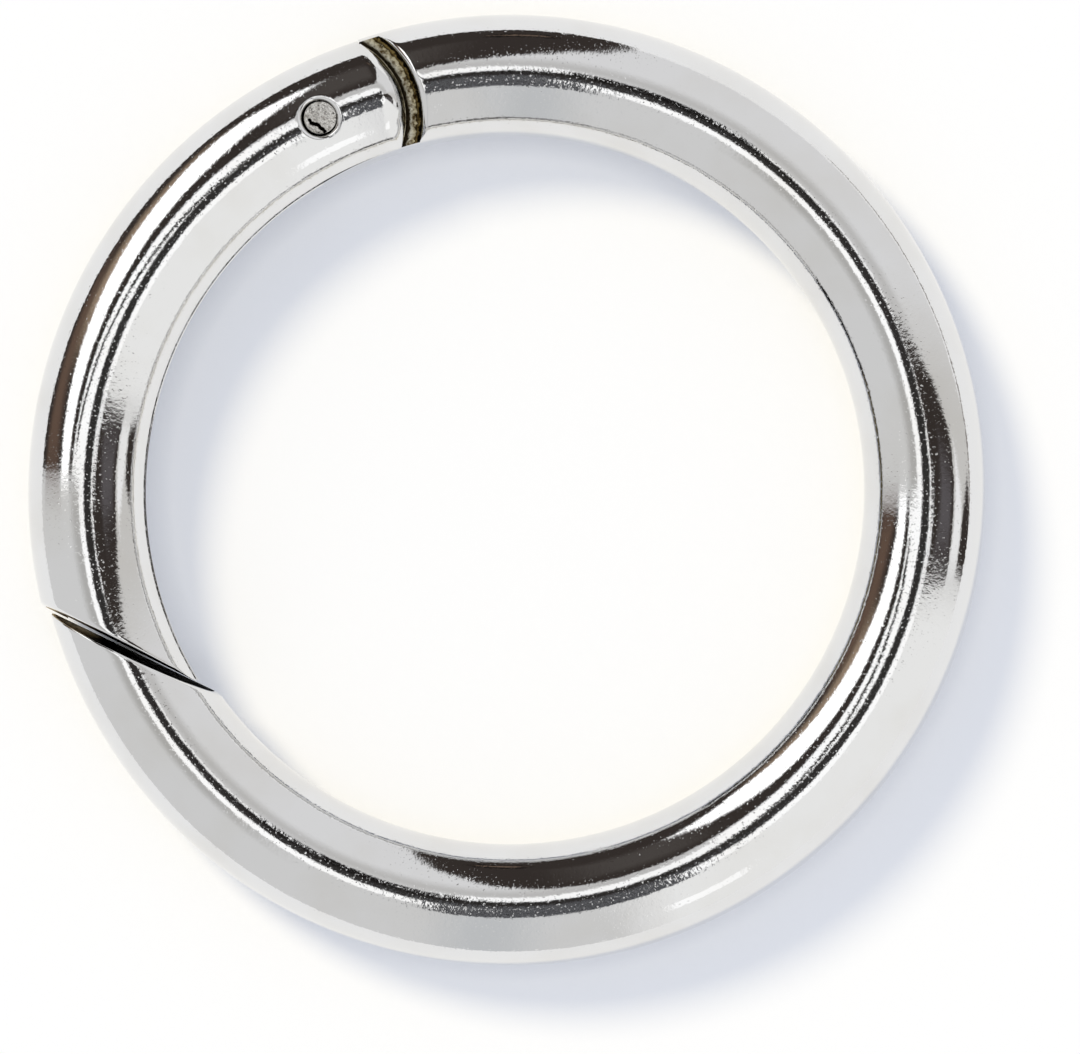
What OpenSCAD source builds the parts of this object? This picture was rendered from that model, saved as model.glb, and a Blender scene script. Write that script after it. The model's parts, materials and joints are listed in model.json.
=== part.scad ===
// Spring-gate bag ring: a round-bar ring cast in two pieces. A C-shaped body
// ends in a flat tongue, and a channelled gate closes the rest of the circle.
// The gate's two ears straddle the tongue on a steel pin, and a coil spring
// lying in the gate's channel pushes on the tongue's heel to keep it shut.
// The ring lies flat on Z = 0: its axis is Z, and the origin is on that axis.

/* [Ring] */
// Clear diameter inside the closed ring
inner_d = 35; // [30:0.5:45]
// Diameter of the round bar
bar_d = 6; // [5.6:0.1:6.6]

/* [Hinge] */
// Direction of the hinge pin from the ring's centre
hinge_angle = 117; // [95:1:135]
// Diameter of the hinge pin
pin_d = 1.6; // [1.2:0.1:2]
// Radial play of the pin in the gate's two ears
pin_play = 0.07; // [0.03:0.01:0.1]
// Radial gap where the pin is driven into the tongue
pin_seat_gap = 0.01; // [0:0.01:0.03]
// How far each end of the pin stays below the crown of the bar
pin_recess = 0.15; // [0.05:0.05:0.4]
// Width of the polished rim round each pin hole
pin_rim = 0.22; // [0.1:0.02:0.4]
// Depth of that rim below the crown of the bar
pin_rim_depth = 0.35; // [0.25:0.05:0.6]
// Radius of the gate's ears about the pin
ear_r = 4.2; // [3.8:0.1:4.8]
// Radius that rounds the ears' ends over at the crown
ear_round = 1.2; // [0.8:0.1:1.6]
// How far above the crown that rounding would end, so that a faint edge is left
ear_crown = 0.1; // [0.05:0.05:0.3]
// Gap between the ears and the body's hollow shoulder
shoulder_gap = 0.8; // [0.4:0.1:1.2]

/* [Tongue] */
// Play on each side of the tongue in the channel
tongue_play = 0.1; // [0.05:0.01:0.2]
// Gap between the tongue's back edge and the channel's floor
tongue_back_gap = 0.2; // [0.1:0.05:0.4]
// Gap at the stop that holds the gate shut
stop_gap = 0.05; // [0.02:0.01:0.1]
// How far the gate's back wall ends short of its ears at the stop
stop_setback = 0.1; // [0.05:0.05:0.3]
// How far the tongue's heel reaches past the pin, along the bar's centre line
heel_reach = 1.54; // [1.4:0.02:1.7]

/* [Gate] */
// Width of the channel along the inside of the gate
channel_w = 2.4; // [2.2:0.1:2.6]
// Wall left behind the channel
channel_back = 1.1; // [0.9:0.1:1.3]
// How far the sharp tips of the channel's two lips are cut back
lip_trim = 0.05; // [0.05:0.05:0.3]
// Turn by which the shut gate stands out past the ring's round
gate_proud = 1; // [0:0.1:1.5]
// Thickness of the wall that the spring pushes on
seat_wall = 1.2; // [0.8:0.1:2]
// How far that wall stays below the inside of the ring
seat_recess = 0.8; // [0.5:0.1:1.2]

/* [Mouth] */
// Direction of the mouth from the ring's centre
mouth_angle = 202.3; // [190:0.1:215]
// Slant of the mouth's faces from a radius
mouth_slant = 48; // [40:1:50]
// Gap between the two faces of the mouth
mouth_gap = 0.6; // [0.5:0.05:0.8]

/* [Spring] */
// Diameter of the spring wire
wire_d = 0.36; // [0.3:0.02:0.4]
// Outside diameter of the coil
coil_d = 2; // [1.8:0.1:2.1]
// Length of the spring along its middle, as fitted
spring_length = 9.4; // [7:0.1:12]
// Distance from the ring's centre line to the coil's axis, towards the inside
spring_offset = 1.1; // [0.8:0.1:1.2]
// Turns with a gap between them
open_turns = 9; // [6:1:11]
// Turns laid close together at each end
closed_turns = 1.25; // [1:0.25:2]
// Gap at each end of the spring
spring_end_gap = 0.06; // [0.02:0.01:0.2]

/* [Hidden] */
$fn = 96;

// Ring
bar_r = bar_d / 2;
ring_r = (inner_d + bar_d) / 2;
inner_r = inner_d / 2;
outer_r = ring_r + bar_r;

// Cutting tools reach this far past what they cut
over = 1;
tool_h = bar_d + 2 * over;

// Hinge
pin_length = bar_d - 2 * pin_recess;
ear_hole_r = pin_d / 2 + pin_play;
shoulder_r = ear_r + shoulder_gap;
tongue_t = channel_w - 2 * tongue_play;
channel_floor_r = outer_r - channel_back;
tongue_back_r = channel_floor_r - tongue_back_gap;
head_r = channel_floor_r - ring_r - tongue_back_gap / 2;
heel_angle = hinge_angle + asin(heel_reach / ring_r);

// The ears' ends cross the channel's outer edges at this angle before the pin. The wall
// behind the channel stops just short of there, where it meets the tongue's step.
edge_r = ring_r + sqrt(bar_r * bar_r - channel_w * channel_w / 4);
ear_span = acos((edge_r * edge_r + ring_r * ring_r - ear_r * ear_r) / (2 * edge_r * ring_r));
stop_angle = hinge_angle - ear_span + arc_angle(stop_setback, edge_r);
step_angle = stop_angle - arc_angle(stop_gap + bar_r * sin(gate_proud), outer_r);

// Spring and its seat
coil_r = (coil_d - wire_d) / 2;
spring_r = ring_r - spring_offset;
spring_start = heel_angle + arc_angle(spring_end_gap, spring_r);
seat_angle = spring_start + arc_angle(spring_length + spring_end_gap, spring_r);
seat_end_angle = seat_angle + arc_angle(seat_wall, ring_r);
seat_x = seat_recess - bar_r;

// The channel's lips end this far inside the bar's centre line
lip_x = lip_trim - sqrt(bar_r * bar_r - channel_w * channel_w / 4);

// Bars are swept this far past a cut, so that the cut makes the whole face
lead_angle = 2 * asin(shoulder_r / ring_r);
mouth_lead = arc_angle(bar_d * (1 + tan(mouth_slant)), ring_r);

wire_sides = 8;
turn_steps = 18;

// The angle that an arc of this length takes on a circle of radius r
function arc_angle(length, r) = length / r * 180 / PI;

// Pieces are drawn about the ring's mid-plane and lifted until the ring lies on Z = 0
module lying() {
    translate([0, 0, bar_r]) children();
}

// A frame on the pin's axis, with +X outwards and +Y along the gate
module at_pin() {
    rotate([0, 0, hinge_angle]) translate([ring_r, 0, 0]) children();
}

// A frame on the bar's centre line, with +Y across the mouth towards the body
module at_mouth() {
    rotate([0, 0, mouth_angle]) translate([ring_r, 0, 0]) rotate([0, 0, -mouth_slant]) children();
}

// Sweeps a 2D section, drawn with X as the radius, round the ring's axis
module sweep(from, to) {
    rotate([0, 0, from]) rotate_extrude(angle = to - from) children();
}

// The round bar, from one angle to another
module bar(from, to) {
    sweep(from, to) translate([ring_r, 0]) circle(d = bar_d);
}

// A ring-shaped cutter between two radii, h high about the ring's mid-plane
module band(from, to, r_in, r_out, h) {
    sweep(from, to) translate([r_in, -h / 2]) square([r_out - r_in, h]);
}

// A block on one side of the XZ plane, big enough to cut off a bar's end
module end_block(side) {
    w = 2 * bar_d;
    translate([-w, side > 0 ? 0 : -2 * w, -tool_h / 2]) cube([2 * w, 2 * w, tool_h]);
}

// A slab that reaches from z_in to past the bar's crown, on both of its sides
module side_slabs(z_in) {
    w = 2 * bar_d;
    for (side = [0, 180])
        rotate([side, 0, 0]) translate([-w, -w, z_in]) cube([2 * w, 2 * w, tool_h / 2 - z_in]);
}

// The rounded puck that the gate's ears are trimmed to
module ear_puck() {
    flat_z = bar_r + ear_crown - ear_round;
    rotate_extrude() {
        translate([0, -tool_h / 2]) square([ear_r - ear_round, tool_h]);
        translate([0, -flat_z]) square([ear_r, 2 * flat_z]);
        for (side = [-1, 1])
            translate([ear_r - ear_round, side * flat_z]) intersection() {
                circle(r = ear_round);
                translate([0, -ear_round]) square([ear_round, 2 * ear_round]);
            }
    }
}

// What trims the bar's end to the two rounded ears, beside the channel
module ear_cuts() {
    difference() {
        intersection() {
            end_block(-1);
            side_slabs(channel_w / 2);
        }
        ear_puck();
    }
}

// What the tongue loses beside its flanks, up to the hollow shoulder
module flank_cuts() {
    for (side = [-1, 1])
        translate([0, 0, side * (tongue_t / 2 + tool_h / 2)])
            cylinder(r = shoulder_r, h = tool_h, center = true);
}

// A flat wedge from the ring's axis out past the bar
module wedge(from, to) {
    far = 2 * outer_r;
    polygon([[0, 0], far * [cos(from), sin(from)], far * [cos(to), sin(to)]]);
}

// Steps the tongue down under the gate's back wall, and rounds its head about the pin
module back_cut() {
    linear_extrude(height = tool_h, center = true) difference() {
        wedge(step_angle, heel_angle + lead_angle);
        circle(r = ring_r);
        intersection() {
            circle(r = tongue_back_r);
            wedge(step_angle - 1, hinge_angle);
        }
        rotate([0, 0, hinge_angle]) translate([ring_r, 0]) circle(r = head_r);
    }
}

// The C-shaped casting: the bar, cut at the mouth and thinned to the tongue at its other end
module ring_body() {
    color("silver") lying() difference() {
        bar(mouth_angle - mouth_lead, 360 + heel_angle);
        at_mouth() translate([0, mouth_gap / 2, 0]) end_block(-1);
        at_pin() flank_cuts();
        back_cut();
        at_pin() cylinder(d = pin_d + 2 * pin_seat_gap, h = tool_h, center = true);
    }
}

// The hole in the gate's ears, with its soft rims
module ear_hole() {
    cylinder(r = ear_hole_r, h = tool_h, center = true);
    for (side = [0, 180])
        rotate([side, 0, 0]) translate([0, 0, bar_r - pin_rim_depth])
            cylinder(r1 = ear_hole_r, r2 = ear_hole_r + 2 * pin_rim, h = 2 * pin_rim_depth);
}

// The gate's section, with X outwards: a round bar with a channel from its inside
module gate_section() {
    difference() {
        circle(d = bar_d);
        translate([-bar_d, -channel_w / 2]) square([bar_d + channel_floor_r - ring_r, channel_w]);
        translate([-bar_d, -bar_r]) square([bar_d + lip_x, bar_d]);
    }
}

// The wall across the channel that the spring pushes on
module seat_section() {
    intersection() {
        circle(d = bar_d);
        translate([seat_x, -bar_r]) square([bar_d, bar_d]);
    }
}

// Turns the gate and its spring about the pin, from the ring's round to where it shuts
module shut() {
    at_pin() rotate([0, 0, -gate_proud]) translate([-ring_r, 0, 0]) rotate([0, 0, -hinge_angle])
        children();
}

// The channelled gate, from its ears on the pin to its slanted end at the mouth
module gate() {
    start = hinge_angle - lead_angle;
    color("gainsboro") lying() shut() difference() {
        union() {
            sweep(start, mouth_angle + mouth_lead) translate([ring_r, 0]) gate_section();
            sweep(seat_angle, seat_end_angle) translate([ring_r, 0]) seat_section();
        }
        at_mouth() translate([0, -mouth_gap / 2, 0]) end_block(1);
        at_pin() ear_cuts();
        band(start - 1, stop_angle, inner_r - over, outer_r + over, channel_w);
        at_pin() ear_hole();
    }
}

// The straight steel pin, with its ends just below the crown of the bar
module hinge_pin() {
    color("darkgray") lying() at_pin() cylinder(d = pin_d, h = pin_length, center = true);
}

// Distance along the coil's axis after a number of turns: close turns at both
// ends, and one even pitch between them
function spring_travel(turn) =
    let (
        close_pitch = wire_d * 1.04,
        closed = closed_turns * close_pitch,
        open_pitch = (spring_length - wire_d - 2 * closed) / open_turns
    )
    min(turn, closed_turns) * close_pitch
    + max(0, min(turn - closed_turns, open_turns)) * open_pitch
    + max(0, turn - closed_turns - open_turns) * close_pitch;

// One ring of points round the wire, in the plane of the coil's axis
function wire_ring(turn) =
    let (
        along = spring_start + arc_angle(wire_d / 2 + spring_travel(turn), spring_r),
        spin = 360 * turn,
        radial = [cos(along), sin(along), 0],
        tangent = [-sin(along), cos(along), 0],
        out = cos(spin) * radial + [0, 0, sin(spin)],
        middle = spring_r * radial + coil_r * out
    )
    [for (k = [0 : wire_sides - 1])
        middle + wire_d / 2 * (cos(360 * k / wire_sides) * out + sin(360 * k / wire_sides) * tangent)];

// The coil spring in the gate's channel, between the tongue's heel and the seat wall
module gate_spring() {
    turns = open_turns + 2 * closed_turns;
    steps = round(turns * turn_steps);
    last = steps * wire_sides;
    points = [for (i = [0 : steps]) each wire_ring(turns * i / steps)];
    sides = [for (i = [0 : steps - 1], k = [0 : wire_sides - 1])
        let (a = i * wire_sides, next = (k + 1) % wire_sides)
        [a + k, a + next, a + wire_sides + next, a + wire_sides + k]];
    caps = [
        [for (k = [0 : wire_sides - 1]) wire_sides - 1 - k],
        [for (k = [0 : wire_sides - 1]) last + k]
    ];
    color("lightsteelblue") lying() shut() polyhedron(points, concat(sides, caps), convexity = 10);
}

ring_body();
gate();
hinge_pin();
gate_spring();
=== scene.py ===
"""Dresses the spring-gate bag ring: fine meshes, nickel plate, studio light and camera."""

import json
import logging
import math
from dataclasses import dataclass, field
from enum import Enum
from typing import Any, Callable, Iterable, Sequence

import bmesh
import bpy
from bmesh.types import BMEdge, BMesh, BMFace, BMVert
from mathutils import Matrix, Vector, noise

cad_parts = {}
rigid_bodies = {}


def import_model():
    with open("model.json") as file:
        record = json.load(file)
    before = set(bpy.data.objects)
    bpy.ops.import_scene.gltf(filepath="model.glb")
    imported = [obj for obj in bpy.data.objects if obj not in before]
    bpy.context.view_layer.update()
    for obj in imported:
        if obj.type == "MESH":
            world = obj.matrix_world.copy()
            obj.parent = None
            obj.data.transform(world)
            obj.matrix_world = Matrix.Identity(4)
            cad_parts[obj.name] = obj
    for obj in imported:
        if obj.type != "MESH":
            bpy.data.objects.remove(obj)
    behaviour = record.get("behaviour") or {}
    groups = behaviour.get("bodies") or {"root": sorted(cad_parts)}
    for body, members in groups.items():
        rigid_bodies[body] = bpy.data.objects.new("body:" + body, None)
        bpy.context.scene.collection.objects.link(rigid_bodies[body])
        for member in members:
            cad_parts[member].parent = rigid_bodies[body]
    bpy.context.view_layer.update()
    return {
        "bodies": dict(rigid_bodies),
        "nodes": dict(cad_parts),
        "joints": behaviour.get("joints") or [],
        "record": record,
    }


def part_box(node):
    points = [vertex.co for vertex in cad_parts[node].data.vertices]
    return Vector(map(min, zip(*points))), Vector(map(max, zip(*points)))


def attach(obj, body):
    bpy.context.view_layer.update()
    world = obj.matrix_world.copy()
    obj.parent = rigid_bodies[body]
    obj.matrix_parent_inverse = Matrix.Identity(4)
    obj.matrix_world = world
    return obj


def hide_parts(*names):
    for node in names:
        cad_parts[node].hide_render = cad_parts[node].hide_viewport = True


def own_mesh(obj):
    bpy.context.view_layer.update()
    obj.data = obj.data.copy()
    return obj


LOG = logging.getLogger("bag_ring")

MM = 0.001
TINY = 1e-4  # mm, below which a length counts as nothing
WELD = 5e-4  # mm, within which two points are made one
LEVEL = 1e-3  # mm, within which a point lies at a height
SHARP_EDGE = math.radians(38)
ROUND = 2 * math.pi
Cut = Callable[[float, float], float]
Place = Callable[[Vector], Sequence[float]]


class Skin(Enum):
    """The finishes that one piece can carry, by the order of its material slots."""

    POLISHED = 0
    ROUGH = 1
    # painted shade: the slot of the near-black finish that paints the shade down in the mouth
    PAINTED_SHADE = 2


def linear(hex_colour: str) -> tuple[float, float, float, float]:
    """Turns an sRGB hex colour to the linear colour that a shader socket takes.

    Args:
        hex_colour: Six hex digits, such as "E7E5E0".

    Returns:
        Linear red, green, blue and an alpha of one.
    """
    channels = (int(hex_colour[i : i + 2], 16) / 255 for i in (0, 2, 4))
    r, g, b = (c / 12.92 if c <= 0.04045 else ((c + 0.055) / 1.055) ** 2.4 for c in channels)
    return r, g, b, 1.0


def smooth(value: float, low: float, high: float) -> float:
    """Eases a number from zero at low to one at high."""
    t = min(1.0, max(0.0, (value - low) / (high - low)))
    return t * t * (3 - 2 * t)


# ---------------------------------------------------------------- mesh helpers


@dataclass
class SectionPoint:
    """One point of a bar's section: where it is, and which way its surface looks."""

    x: float
    z: float
    nx: float
    nz: float

    def sunk(self, depth: float) -> tuple[float, float]:
        """Gives the X and Z of the point pushed below the surface."""
        return self.x - depth * self.nx, self.z - depth * self.nz


@dataclass
class BarEnd:
    """How a swept bar ends: the cut that each line runs up to, and the rounding of its rim."""

    angle_at: Cut
    round_at: Callable[[SectionPoint], float]
    steps: int = 5

    def stations(self) -> list[tuple[float, float]]:
        """Lists distances from the cut and depths, as shares of the rounding, from the cut on."""
        turns = [math.pi / 2 * (1 - k / self.steps) for k in range(self.steps + 1)]
        return [(1 - math.sin(t), 1 - math.cos(t)) for t in turns]


def turned(radius: float, angle: float, z: float = 0.0) -> Vector:
    """Gives the point at a radius and at an angle in radians from +X, about Z."""
    return Vector((radius * math.cos(angle), radius * math.sin(angle), z))


def pull(
    bm: BMesh, edges: Iterable[BMEdge], place: Place, skin: Skin | None = None
) -> list[BMEdge]:
    """Extrudes edges once and puts each new vertex in its place.

    Args:
        bm: The mesh.
        edges: The edges to pull a strip of faces from.
        place: Says where the copy of a vertex goes.
        skin: The strip's finish, or None for that of the faces beside it.

    Returns:
        The new outer edges.
    """
    made = bmesh.ops.extrude_edge_only(bm, edges=list(edges))["geom"]
    new = {g for g in made if isinstance(g, BMVert)}
    for vert in new:
        vert.co = place(vert.co.copy())
    outer = [g for g in made if isinstance(g, BMEdge) and set(g.verts) <= new]
    if skin:
        for face in (f for e in outer for f in e.link_faces):
            face.material_index = skin.value
    return outer


def hoop(bm: BMesh, radius: float, sides: int, middle: Vector) -> set[BMEdge]:
    """Makes a circle of edges round an upright axis.

    Args:
        bm: The mesh.
        radius: The circle's radius.
        sides: Its number of edges.
        middle: Its middle.

    Returns:
        The edges.
    """
    verts = bmesh.ops.create_circle(
        bm, cap_ends=False, radius=radius, segments=sides, matrix=Matrix.Translation(middle)
    )["verts"]
    return {e for v in verts for e in v.link_edges}


def open_edges(bm: BMesh, keep: Callable[[Vector], bool]) -> list[BMEdge]:
    """Finds the edges with one face or none whose two ends both pass a test."""
    return [e for e in bm.edges if len(e.link_faces) < 2 and all(keep(v.co) for v in e.verts)]


def join(bm: BMesh, among: Iterable[BMVert], spots: Iterable[Vector]) -> None:
    """Draws an edge between the two of some vertices that lie nearest to two spots."""
    ends = [min(among, key=lambda v, p=spot: (v.co - p).length_squared) for spot in spots]
    bmesh.ops.contextual_create(bm, geom=ends)


def weld(bm: BMesh) -> None:
    """Makes points that lie together one."""
    bmesh.ops.remove_doubles(bm, verts=list(bm.verts), dist=WELD)


def fill(bm: BMesh, edges: Sequence[BMEdge], skin: Skin) -> None:
    """Fills a flat outline, with any holes in it.

    Args:
        bm: The mesh.
        edges: The outline's and the holes' edges.
        skin: The finish of the new faces.
    """
    made = bmesh.ops.triangle_fill(bm, use_beauty=True, use_dissolve=False, edges=list(edges))
    faces = [g for g in made["geom"] if isinstance(g, BMFace)]
    if not faces:
        raise RuntimeError("an outline was left open")
    for face in faces:
        face.material_index = skin.value


def fill_level(bm: BMesh, z: float, skin: Skin) -> None:
    """Fills the outline that lies open at one height."""
    fill(bm, open_edges(bm, lambda co: abs(co.z - z) < LEVEL), skin)


@dataclass
class Swept:
    """A section swept round the ring's axis, with each vertex known by column and row."""

    bm: BMesh
    verts: dict[tuple[int, int], BMVert]
    columns: int
    rows: int

    def column_edges(self, column: int, rows: Iterable[int]) -> list[BMEdge]:
        """Gives the edges between neighbouring rows of one column.

        Args:
            column: The column.
            rows: The lower row of each edge.

        Returns:
            The edges.
        """
        wanted = []
        for row in rows:
            a = self.verts[(column, row)]
            b = self.verts[(column, (row + 1) % self.rows)]
            wanted.append(next(e for e in a.link_edges if e.other_vert(a) is b))
        return wanted


def sweep(
    section: Sequence[SectionPoint],
    closed: bool,
    middle_r: float,
    start: BarEnd,
    end: BarEnd,
    step_angle: float,
) -> Swept:
    """Sweeps a section round Z, and slides the ends of its lines on to the two cuts.

    Args:
        section: The section's points, with X outwards from the bar's centre line.
        closed: Whether the last point joins the first.
        middle_r: Radius of the bar's centre line.
        start: The cut at the lower angle.
        end: The cut at the higher angle.
        step_angle: Angle between two columns, in radians.

    Returns:
        The swept sheet.
    """
    bm = bmesh.new()
    rows = len(section)
    tag = bm.verts.layers.int.new("row")
    line = bmesh.ops.create_circle(bm, cap_ends=False, radius=1.0, segments=rows)["verts"]
    for row, vert in enumerate(line):
        vert[tag] = row
        vert.co = (1.0 + row, 0.0, 0.0)  # on +X, so that its angle tells its column after the spin
    if not closed:
        seam = [e for e in bm.edges if {v[tag] for v in e.verts} == {0, rows - 1}]
        bmesh.ops.delete(bm, geom=seam, context="EDGES_FACES")
    mid = section[rows // 2]
    reach = middle_r + mid.x
    span = end.angle_at(reach, mid.z) - start.angle_at(reach, mid.z)
    plain = max(4, round(span / step_angle))
    columns = plain + start.steps + end.steps
    geom = list(bm.verts) + list(bm.edges)
    bmesh.ops.spin(bm, geom=geom, axis=(0, 0, 1), angle=1.0, steps=columns)
    heads, tails = start.stations(), end.stations()
    verts: dict[tuple[int, int], BMVert] = {}
    for vert in bm.verts:
        column = round(math.atan2(vert.co.y, vert.co.x) * columns)
        verts[(column, vert[tag])] = vert
        point = section[vert[tag]]
        rim_a, rim_b = start.round_at(point), end.round_at(point)
        if column < start.steps:
            along, depth = heads[column]
            x, z = point.sunk(depth * rim_a)
            angle = start.angle_at(middle_r + x, z) + along * rim_a / (middle_r + x)
        elif column > columns - end.steps:
            along, depth = tails[columns - column]
            x, z = point.sunk(depth * rim_b)
            angle = end.angle_at(middle_r + x, z) - along * rim_b / (middle_r + x)
        else:
            x, z = point.x, point.z
            radius = middle_r + x
            low = start.angle_at(radius, z) + rim_a / radius
            high = end.angle_at(radius, z) - rim_b / radius
            angle = low + (high - low) * (column - start.steps) / plain
        vert.co = turned(middle_r + x, angle, z)
    return Swept(bm, verts, columns, rows)


def arc_section(radius: float, breaks: Sequence[tuple[float, int]]) -> list[SectionPoint]:
    """Lists the points of a round section, spaced evenly between given angles.

    Args:
        radius: The bar's radius.
        breaks: The angle that each stretch starts at, in degrees, and its number of steps.
            The last pair only ends the last stretch.

    Returns:
        The points, from the first angle up to the last.
    """
    angles = []
    for (low, steps), (high, _) in zip(breaks, breaks[1:]):
        angles += [math.radians(low + (high - low) * k / steps) for k in range(steps)]
    angles.append(math.radians(breaks[-1][0]))
    return [
        SectionPoint(radius * math.cos(a), radius * math.sin(a), math.cos(a), math.sin(a))
        for a in angles
    ]


def show(name: str, data: bpy.types.ID) -> bpy.types.Object:
    """Puts new data in the scene as an object of that name."""
    made = bpy.data.objects.new(name, data)
    bpy.context.scene.collection.objects.link(made)
    return made


def show_mesh(name: str, bm: BMesh) -> bpy.types.Object:
    """Puts a mesh in the scene as an object of that name, and frees its working copy."""
    mesh = bpy.data.meshes.new(name)
    bm.to_mesh(mesh)
    bm.free()
    return show(name, mesh)


def finish_mesh(bm: BMesh, name: str, lift: float) -> bpy.types.Object:
    """Closes up a mesh made in millimetres and makes it an object in metres.

    Args:
        bm: The mesh, which is used up.
        name: The piece's name.
        lift: How far the mesh is raised, in millimetres.

    Returns:
        The new object.
    """
    weld(bm)
    bmesh.ops.dissolve_degenerate(bm, dist=TINY, edges=list(bm.edges))
    bmesh.ops.recalc_face_normals(bm, faces=list(bm.faces))
    bmesh.ops.translate(bm, vec=(0, 0, lift), verts=list(bm.verts))
    bmesh.ops.scale(bm, vec=(MM, MM, MM), verts=list(bm.verts))
    for edge in bm.edges:
        edge.smooth = len(edge.link_faces) == 2 and edge.calc_face_angle() < SHARP_EDGE
    for face in bm.faces:
        face.smooth = True
    open_count = sum(not e.is_manifold for e in bm.edges)
    LOG.info("%s: %d faces, %d open edges", name, len(bm.faces), open_count)
    return show_mesh(name, bm)


# ---------------------------------------------------------------- sizes


@dataclass
class RingSizes:
    """The sizes that the body, the gate and the pin share, in millimetres and radians."""

    ring_r: float
    bar_r: float
    pin_r: float
    pin_half: float
    hinge: float
    tongue_half: float = 1.1
    slot_half: float = 1.2
    ear_r: float = 4.2
    shoulder_r: float = 5.0
    floor_r: float = 22.4
    tongue_back_r: float = 22.2
    head_r: float = 1.8
    heel_reach: float = 1.54
    stop_setback: float = 0.1
    stop_gap: float = 0.1
    mouth: float = math.radians(202.3)
    slant: float = math.radians(48)
    mouth_gap: float = 0.6
    mouth_draft: float = 0.26
    proud: float = math.radians(1)

    @classmethod
    def from_frame(cls, frame: dict[str, Any]) -> "RingSizes":
        """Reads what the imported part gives: the bar, the pin and the hinge.


        Returns:
            The sizes.
        """
        low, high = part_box("ring_body")
        bar_r = (high.z - low.z) / 2 / MM
        joint = next(j for j in frame["joints"] if j["name"] == "gate_hinge")
        pin_low, pin_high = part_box("hinge_pin")
        return cls(
            ring_r=high.x / MM - bar_r,
            bar_r=bar_r,
            pin_r=(pin_high.x - pin_low.x) / 2 / MM,
            pin_half=(pin_high.z - pin_low.z) / 2 / MM,
            hinge=math.atan2(joint["pos_m"][1], joint["pos_m"][0]),
        )

    @property
    def pin_centre(self) -> Vector:
        """The pin's axis at the ring's mid-plane."""
        return turned(self.ring_r, self.hinge)

    @property
    def shut_turn(self) -> Matrix:
        """The turn about the pin by which the shut gate stands proud."""
        return Matrix.Rotation(-self.proud, 3, "Z")

    @property
    def stop(self) -> float:
        """The angle at which the wall behind the gate's channel ends, over the tongue's step."""
        edge_r = self.ring_r + math.sqrt(self.bar_r**2 - self.slot_half**2)
        return self.round_pin(self.ear_r)(edge_r, 0.0) + self.stop_setback / edge_r

    @property
    def step(self) -> float:
        """The angle of the tongue's step, which the gate shuts against."""
        return self.stop - self.stop_gap / (self.ring_r + self.bar_r)

    @property
    def heel(self) -> float:
        """The angle of the tongue's heel."""
        return self.hinge + math.asin(self.heel_reach / self.ring_r)

    def round_pin(self, reach: float) -> Cut:
        """Gives the cut along an upright cylinder about the pin, on its side before the pin.

        Args:
            reach: The cylinder's radius.

        Returns:
            A function from radius and height to the cut's angle.
        """

        def angle(radius: float, _z: float) -> float:
            top = radius**2 + self.ring_r**2 - reach**2
            return self.hinge - math.acos(min(1.0, top / (2 * radius * self.ring_r)))

        return angle

    def mouth_face(self, side: int) -> Cut:
        """Gives the cut along one slanted face of the mouth.

        Args:
            side: 1 for the body's face, -1 for the gate's.

        Returns:
            A function from radius and height to the cut's angle.
        """
        across = self.mouth - self.slant + math.pi / 2
        middle = self.ring_r * math.cos(self.mouth - across)

        def angle(radius: float, z: float) -> float:
            reach = self.mouth_gap / 2 - self.mouth_draft * (1 - abs(z) / self.bar_r)
            return across - math.acos((middle + side * reach) / radius)

        return angle

    def close_mouth(self, bm: BMesh, radii: tuple[float, float], side: int) -> None:
        """Closes a piece's end at the mouth with two faces that meet at the mid-plane.

        Args:
            bm: The mesh, open at the mouth alone.
            radii: The inner and outer radius of the end at the mid-plane.
            side: 1 for the body's end, -1 for the gate's.
        """
        spots = [turned(r, self.mouth_face(side)(r, 0.0)) for r in radii]
        rim = {v for e in open_edges(bm, lambda co: abs(co.z) < self.bar_r) for v in e.verts}
        join(bm, rim, spots)
        for half in (1, -1):
            # The mouth's faces take the painted-shade finish, painted dark for the shade between
            # them.
            fill(bm, open_edges(bm, lambda co, h=half: co.z * h > -TINY), Skin.PAINTED_SHADE)

    def shut(self, bm: BMesh) -> None:
        """Turns a piece of the gate about the pin to where the gate shuts."""
        bmesh.ops.rotate(
            bm, cent=self.pin_centre, matrix=self.shut_turn, verts=list(bm.verts)
        )


# ---------------------------------------------------------------- materials


def add_node(
    tree: bpy.types.NodeTree, kind: str, inputs: dict[Any, Any] | None = None, **settings: Any
) -> bpy.types.Node:
    """Adds one node with its settings, its socket values and its incoming links.

    Args:
        tree: The node tree.
        kind: The node's type name, without its ShaderNode.
        inputs: A value, an output socket, or a node for its first output, for each input
            socket by name or number.
        **settings: The node's own properties.

    Returns:
        The node.
    """
    node = tree.nodes.new("ShaderNode" + kind)
    for name, value in settings.items():
        setattr(node, name, value)
    for socket, value in (inputs or {}).items():
        source = value.outputs[0] if isinstance(value, bpy.types.Node) else value
        if isinstance(source, bpy.types.NodeSocket):
            tree.links.new(source, node.inputs[socket])
        else:
            node.inputs[socket].default_value = source
    return node


def grain(size_mm: float) -> float:
    """Gives the scale of a pattern whose grains are that many millimetres across."""
    return 1 / (size_mm * MM)


def fresh_material(name: str) -> tuple[bpy.types.Material, bpy.types.NodeTree]:
    """Starts a material and gives it with its empty node tree."""
    material = bpy.data.materials.new(name)
    material.use_nodes = True
    material.node_tree.nodes.clear()
    return material, material.node_tree


@dataclass(frozen=True)
class Dent:
    """One layer of unevenness in a metal surface."""

    size_mm: float
    depth_mm: float
    detail: float = 1.0
    threshold: float | None = None


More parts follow.
